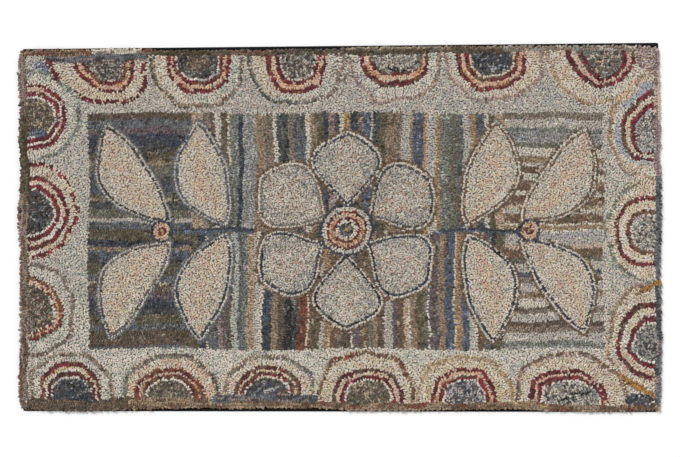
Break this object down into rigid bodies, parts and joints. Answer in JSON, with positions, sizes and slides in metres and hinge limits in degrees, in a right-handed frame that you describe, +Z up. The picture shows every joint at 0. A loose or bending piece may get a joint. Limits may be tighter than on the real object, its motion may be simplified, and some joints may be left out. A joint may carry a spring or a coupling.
{
  "type": "hooked rug",
  "caption": "Flat oblong hooked rug with a dense loop pile and an uneven rim, sewn to a thin black backing cloth that shows as a narrow margin along its long sides.",
  "frame": {"origin": "middle of the underside, on the surface that the rug lies on", "axes": "+X along the long edges, +Y towards the top edge of the pattern, +Z up through the loops"},
  "size_m": [1.1428, 0.6568, 0.011],
  "materials": {
    "wool_pile": "dense uncut wool loops in mixed greys, creams, browns, blues and reds",
    "black_cotton": "plain black cotton cloth"
  },
  "bodies": {
    "root": {"rug": "wool_pile", "backing_cloth": "black_cotton"}
  },
  "joints": []
}
